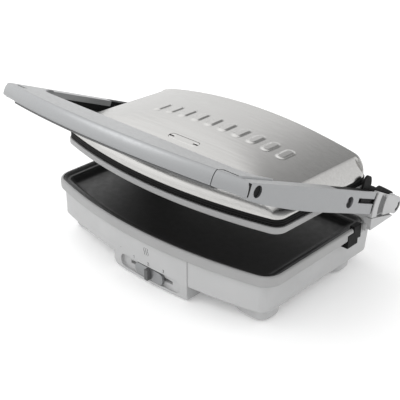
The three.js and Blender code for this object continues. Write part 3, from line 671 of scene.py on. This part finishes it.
def resample(run, steps):
    lengths = [0.0]
    for p, q in zip(run, run[1:]):
        lengths.append(lengths[-1] + (q - p).length)
    points = []
    k = 0
    for i in range(steps + 1):
        target = lengths[-1] * i / steps
        while k < len(lengths) - 2 and lengths[k + 1] < target:
            k += 1
        t = (target - lengths[k]) / (lengths[k + 1] - lengths[k])
        points.append(run[k].lerp(run[k + 1], t))
    return points


def patch_points(runs, columns, rows):
    """Coons patch inside four runs: front, right, rear and left."""
    front, right = resample(runs[0], columns), resample(runs[1], rows)
    rear, left = resample(runs[2], columns)[::-1], resample(runs[3], rows)[::-1]
    grid = []
    for j in range(rows + 1):
        v = j / rows
        for i in range(columns + 1):
            u = i / columns
            sides = left[j] * (1 - u) + right[j] * u
            ends = front[i] * (1 - v) + rear[i] * v
            near = front[0] * (1 - u) + front[-1] * u
            far = rear[0] * (1 - u) + rear[-1] * u
            grid.append(sides + ends - (near * (1 - v) + far * v))
    return grid


def sheet_top(columns, rows):
    """Points and faces of the cover's top inside its crease, and the points round its edge in order."""
    corner_y = bowed_y(LID, CREASE_X, 0)
    shoulder = {"half": CREASE_X, "front": corner_y + SHOULDER_BACK, "rear": LID["rear"] - SHOULDER_REAR,
                "bow": corner_y - bowed_y(LID, 0, 0), "front_radius": 20, "rear_radius": 5}
    top = patch_points(quarter_loops(shoulder, 0), columns, rows)
    points = [(p.x, p.y, cover_height(p.x, p.y) + emboss(p.x, p.y)) for p in top]
    wide = columns + 1
    starts = [j * wide + i for j in range(rows) for i in range(columns)]
    faces = [(a, a + 1, a + wide + 1, a + wide) for a in starts]
    edge = list(range(wide))
    edge += [j * wide + columns for j in range(1, rows + 1)]
    edge += [rows * wide + i for i in range(columns - 1, -1, -1)]
    edge += [j * wide for j in range(rows - 1, 0, -1)]
    return points, faces, edge


def wall_point(top, foot, t):
    """A point on the cover's side wall, from its foot at t = 0, rolling inwards to the crease at t = 1."""
    x, y, z = top
    at_side = min(abs(x) / CREASE_X, 1) ** 8
    at_rear = 1 if y > LID["rear"] - 12 else 0
    drop = 7.5 + 6.0 * at_side * (1 - at_rear) - 5.5 * at_rear
    lean = 0.02
    control = (foot.x + (x - foot.x) * lean, foot.y + (y - foot.y) * lean, z - drop)
    start = (foot.x, foot.y, BAND_TOP + GAP)
    return tuple(start[n] * (1 - t) ** 2 + control[n] * 2 * t * (1 - t) + top[n] * t * t for n in range(3))


def make_cover():
    columns, rows = COVER_GRID
    points, faces, edge = sheet_top(columns, rows)
    feet = []
    for run, steps in zip(quarter_loops(LID, COVER_INSET), (columns, rows, columns, rows)):
        feet += resample(run, steps)[:-1]
    count = len(edge)
    above = edge
    for k in range(WALL_STEPS):
        t = 1 - (k + 1) / WALL_STEPS
        below = list(range(len(points), len(points) + count))
        points += [wall_point(points[index], foot, t) for index, foot in zip(edge, feet)]
        for i in range(count):
            j = (i + 1) % count
            faces.append((above[i], below[i], below[j], above[j]))
        above = below
    cover = add_mesh("lid_cover_sheet", points, faces, LID_PLACE)
    thick = cover.modifiers.new("thick", "SOLIDIFY")
    thick.thickness = COVER_THICKNESS * MM
    thick.offset = -1
    settle(cover)
    boolean(cover, indicator_pill(0.25), "DIFFERENCE")
    dress(cover, "lid", "brushed_stainless", ["lid_cover"])


def indicator_pill(grow):
    """The round-ended opening for the indicator bezel, larger by grow all round."""
    w, d = INDICATOR["half"] + grow, INDICATOR["radius"] + grow
    shape = rounded([(x, INDICATOR["y"] + y, d) for x, y in ((-w, -d), (w, -d), (w, d), (-w, d))], 10)
    return prism("pill", shape, INDICATOR["low"], INDICATOR["high"], "z", LID_PLACE)


# ---- handle ---------------------------------------------------------------------------------------
def bar_plan(inset, steps=64):
    """The bar seen from above in the handle's frame, with gussets behind its ends."""
    half = BAR["half"] - inset
    radius, centre = bow_circle(BAR["half"], BAR["bow"], -BAR["end_reach"])
    swing = math.asin(half / (radius - inset))
    front = arc(0, centre, radius - inset, -math.pi / 2 - swing, -math.pi / 2 + swing, steps)
    corner_y = -(ARM_FRONT + 0.7)
    gusset = ARM_INNER - 0.7 - inset * 0.3
    inner = -BAR["inner_reach"] - inset
    start, bend, end = Vector((gusset, -238 - inset)), Vector((gusset - 2, inner + 1)), Vector((140, inner))
    right = [(half, corner_y), (gusset, corner_y)]
    for k in range(13):
        t = k / 12
        right.append(tuple(start * (1 - t) ** 2 + bend * 2 * t * (1 - t) + end * t * t))
    return front + right + [(-x, y) for x, y in reversed(right)]


def bar_loft(name, levels):
    return loft(name, [[(x, y, z) for x, y in bar_plan(inset)] for inset, z in levels], HANDLE_PLACE)


def bar_levels(sink=0.0):
    low, high = BAR["bottom"] + 2.4, BAR["top"]
    levels = [(1.2 + sink, low), (0.5 + sink, low + 0.5), (0.1 + sink, low + 1.4), (sink, low + 2.6)]
    steps = 14
    for k in range(1, steps + 1):
        t = math.radians(84) * k / steps
        levels.append((sink + 4.8 * (1 - math.cos(t)), low + 4 + (high - low - 4 - sink) * math.sin(t)))
    return levels


def end_region(side, grow, behind):
    low, high = BAR_CAP_INNER - grow, BAR["half"] + 5
    edge = -ARM_FRONT - behind
    shape = [(low * side, -400), (high * side, -400), (high * side, edge), (low * side, edge)]
    return prism("region", shape, -50, 50, "z", HANDLE_PLACE)


def make_bar():
    bar = bar_loft("handle_bar_shell", bar_levels())
    for name, side in SIDES:
        boolean(bar, end_region(side, 0.5, 0.6), "DIFFERENCE")
        cap = bar_loft("end_cap_" + name, bar_levels(0.45))
        boolean(cap, end_region(side, 0, CAP_GAP + GAP), "INTERSECT")
        dress(cap, "handle", "silver_plastic", ["handle_end_cap_" + name], 0.5, 40)
    dress(bar, "handle", "silver_plastic", ["handle_bar"], 0.4, 40)


# ---- stage ----------------------------------------------------------------------------------------
def stage_material():
    material = new_material("studio_paper", {
        "Roughness": 0.9, "Specular IOR Level": 0.1,
        "Emission Color": (1, 1, 1, 1), "Emission Strength": 0.14})
    tint(material, noise(material, 3, 2), (0.88, 0.88, 0.88), (0.9, 0.9, 0.9))
    return material


def make_stage():
    reach = 9000
    corners = [(-reach, -reach, 0), (reach, -reach, 0), (reach, reach, 0), (-reach, reach, 0)]
    floor = add_mesh("studio_floor", corners, [(0, 1, 2, 3)], Matrix.Identity(4))
    floor.data.materials.append(stage_material())


def area_light(name, place, target, size, power):
    data = bpy.data.lights.new(name, "AREA")
    data.shape = "RECTANGLE"
    data.size, data.size_y = size
    data.energy = power
    light = bpy.data.objects.new(name, data)
    light.location = place
    light.rotation_euler = (Vector(target) - Vector(place)).to_track_quat("-Z", "Y").to_euler()
    bpy.context.scene.collection.objects.link(light)


def lobe(world, direction, near, far, at_centre, outside):
    """Brightness by angle from a direction: cosines far..near run smoothly from outside to at_centre."""
    nodes = world.node_tree.nodes
    links = world.node_tree.links
    where = nodes.new("ShaderNodeTexCoord")
    dot = nodes.new("ShaderNodeVectorMath")
    dot.operation = "DOT_PRODUCT"
    dot.inputs[1].default_value = Vector(direction).normalized()
    ranged = nodes.new("ShaderNodeMapRange")
    ranged.interpolation_type = "SMOOTHSTEP"
    limits = {"From Min": far, "From Max": near, "To Min": outside, "To Max": at_centre}
    for socket, value in limits.items():
        ranged.inputs[socket].default_value = value
    links.new(where.outputs["Generated"], dot.inputs[0])
    links.new(dot.outputs["Value"], ranged.inputs["Value"])
    return ranged.outputs["Result"]


def make_lights():
    """A white studio dome, dimmer high up behind the press and brighter on its left, with a soft key."""
    world = bpy.data.worlds.new("studio")
    bpy.context.scene.world = world
    world.use_nodes = True
    nodes = world.node_tree.nodes
    links = world.node_tree.links
    gap = lobe(world, (-0.12, 0.72, 0.68), 0.985, 0.88, 0.3, 1.0)
    key = lobe(world, (-0.75, -0.25, 0.6), 0.95, 0.4, 1.6, 1.1)
    product = nodes.new("ShaderNodeMath")
    product.operation = "MULTIPLY"
    links.new(gap, product.inputs[0])
    links.new(key, product.inputs[1])
    links.new(product.outputs[0], nodes["Background"].inputs["Strength"])
    nodes["Background"].inputs["Color"].default_value = (1, 1, 1, 1)
    area_light("key", (-1.1, -1.0, 1.5), (0, 0, 0.1), (1.0, 0.8), 4)
    bpy.context.scene.view_settings.view_transform = "Standard"


# ---- everything -----------------------------------------------------------------------------------
def finish_nodes():
    """CAD nodes whose shape is right, with rounded edges and their own finish."""
    for name, _ in SIDES:
        refined("handle_arm_" + name, "handle", "silver_plastic", 0.7)
        refined("arm_liner_" + name, "handle", "black_plastic", 0.4)
        # The screw sits deep in its hole and is painted black: painted shade that keeps the hole dark as
        # shadow.
        refined("arm_screw_" + name, "handle", "black_plastic", 0.4)
        refined("lid_pivot_pin_" + name, "handle", "plain_steel", 0.4)
        refined("hinge_knuckle_" + name, "hinge_carrier", "shell_grey", 0.8, flat=0)
        refined("hinge_shield_" + name, "hinge_carrier", "dark_grey_plastic", 0.4)
        # The black plug fills the knuckle tip's slot: painted shade that makes the slot read as dark shadow.
        refined("hinge_plug_" + name, "hinge_carrier", "black_plastic", 0.2)
        refined("hinge_bracket_" + name, "base", "shell_grey", 0.8)
        refined("arm_rest_" + name, "base", "black_plastic", 0.6)
        refined("lid_pivot_bush_" + name, "lid", "black_plastic", 0.3)
        refined("indicator_lens_" + name, "lid", "lamp_lens", 0.2)
        for end in ("front", "rear"):
            refined(f"foot_pad_{end}_{name}", "base", "rubber", 0.5)
            refined(f"cover_screw_{end}_{name}", "base", "plain_steel", 0.4)
    refined("handle_grip_cover", "handle", "dark_grey_plastic", 0.4)
    refined("indicator_bezel", "lid", "brushed_stainless", 0.6)
    refined("control_fascia", "base", "shell_grey", 0.9)
    refined("slider_knob", "heat_slider", "silver_plastic", 0.4, flat=0)
    refined("slider_ridge", "heat_slider", "dark_grey_plastic", 0.5)
    refined("slider_carriage", "heat_slider", "black_plastic", 0.3)
    refined("base_bottom_cover", "base", "dark_grey_plastic", 0.6)
    refined("cord_gland", "base", "black_plastic", 0.5)
    refined("hinge_cross_shaft", "hinge_carrier", "plain_steel", 0.4)
    refined("upper_plate", "lid", "non_stick", 0.6)


def paint_hidden_nodes():
    """Pieces inside the shells keep their CAD mesh and get their finish."""
    hidden = {
        "lower_heating_element": "plain_steel", "upper_heating_element": "plain_steel",
        "lower_heat_shield": "plain_steel", "upper_heat_shield": "plain_steel",
        "thermal_fuse": "plain_steel", "thermostat": "ceramic", "terminal_block": "ceramic"}
    for node, slot in hidden.items():
        obj = frame["nodes"][node]
        obj.data.materials.clear()
        obj.data.materials.append(MATERIALS[slot])


make_housing()
make_rim()
make_tray()
make_marks()
make_ring()
make_band()
make_cover()
make_bar()
finish_nodes()
paint_hidden_nodes()
make_stage()
make_lights()
